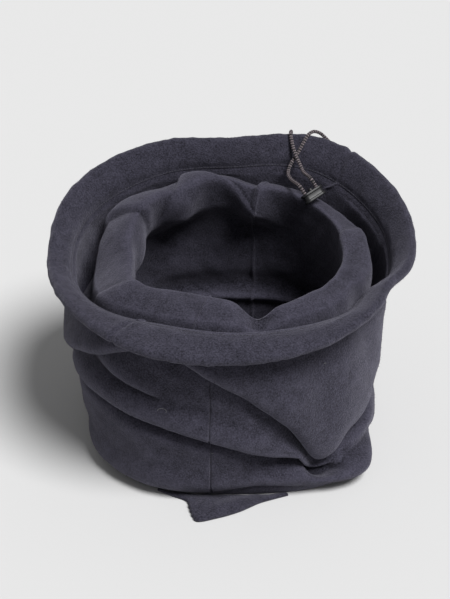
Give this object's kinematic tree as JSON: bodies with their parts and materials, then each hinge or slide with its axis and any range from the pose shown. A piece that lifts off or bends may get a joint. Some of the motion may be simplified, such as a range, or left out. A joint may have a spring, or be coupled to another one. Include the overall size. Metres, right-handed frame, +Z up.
{
  "type": "helmet bag",
  "caption": "Soft fleece helmet bag standing open, its upper part pushed down as a cuff, with a drawcord in the mouth hem and a small spring cord lock.",
  "frame": {"origin": "on the floor under the middle of the bag's box", "axes": "+Z up; the front, where the hem hangs over and the bottom corner sticks out, faces -Y; +X to the right"},
  "size_m": [0.3735, 0.3411, 0.2663],
  "materials": {
    "fleece": "napped",
    "cord_braid": "braided",
    "lock_plastic": "satin"
  },
  "bodies": {
    "bag": {"body_panel_left": "fleece", "body_panel_right": "fleece", "base_left": "fleece", "base_right": "fleece", "bottom_corner": "fleece", "drawcord_casing": "fleece", "drawcord_in_casing": "cord_braid", "drawcord_strand_left": "cord_braid", "drawcord_strand_right": "cord_braid", "cord_lock_barrel": "lock_plastic"},
    "lock_button": {"cord_lock_button": "lock_plastic"}
  },
  "joints": [
    {"name": "cord_lock_press", "type": "slide", "parent": "bag", "child": "lock_button", "axis": [0.5493, -0.4458, -0.7068], "range_m": [0, 0.0026], "stiffness_N_per_m": 300}
  ]
}
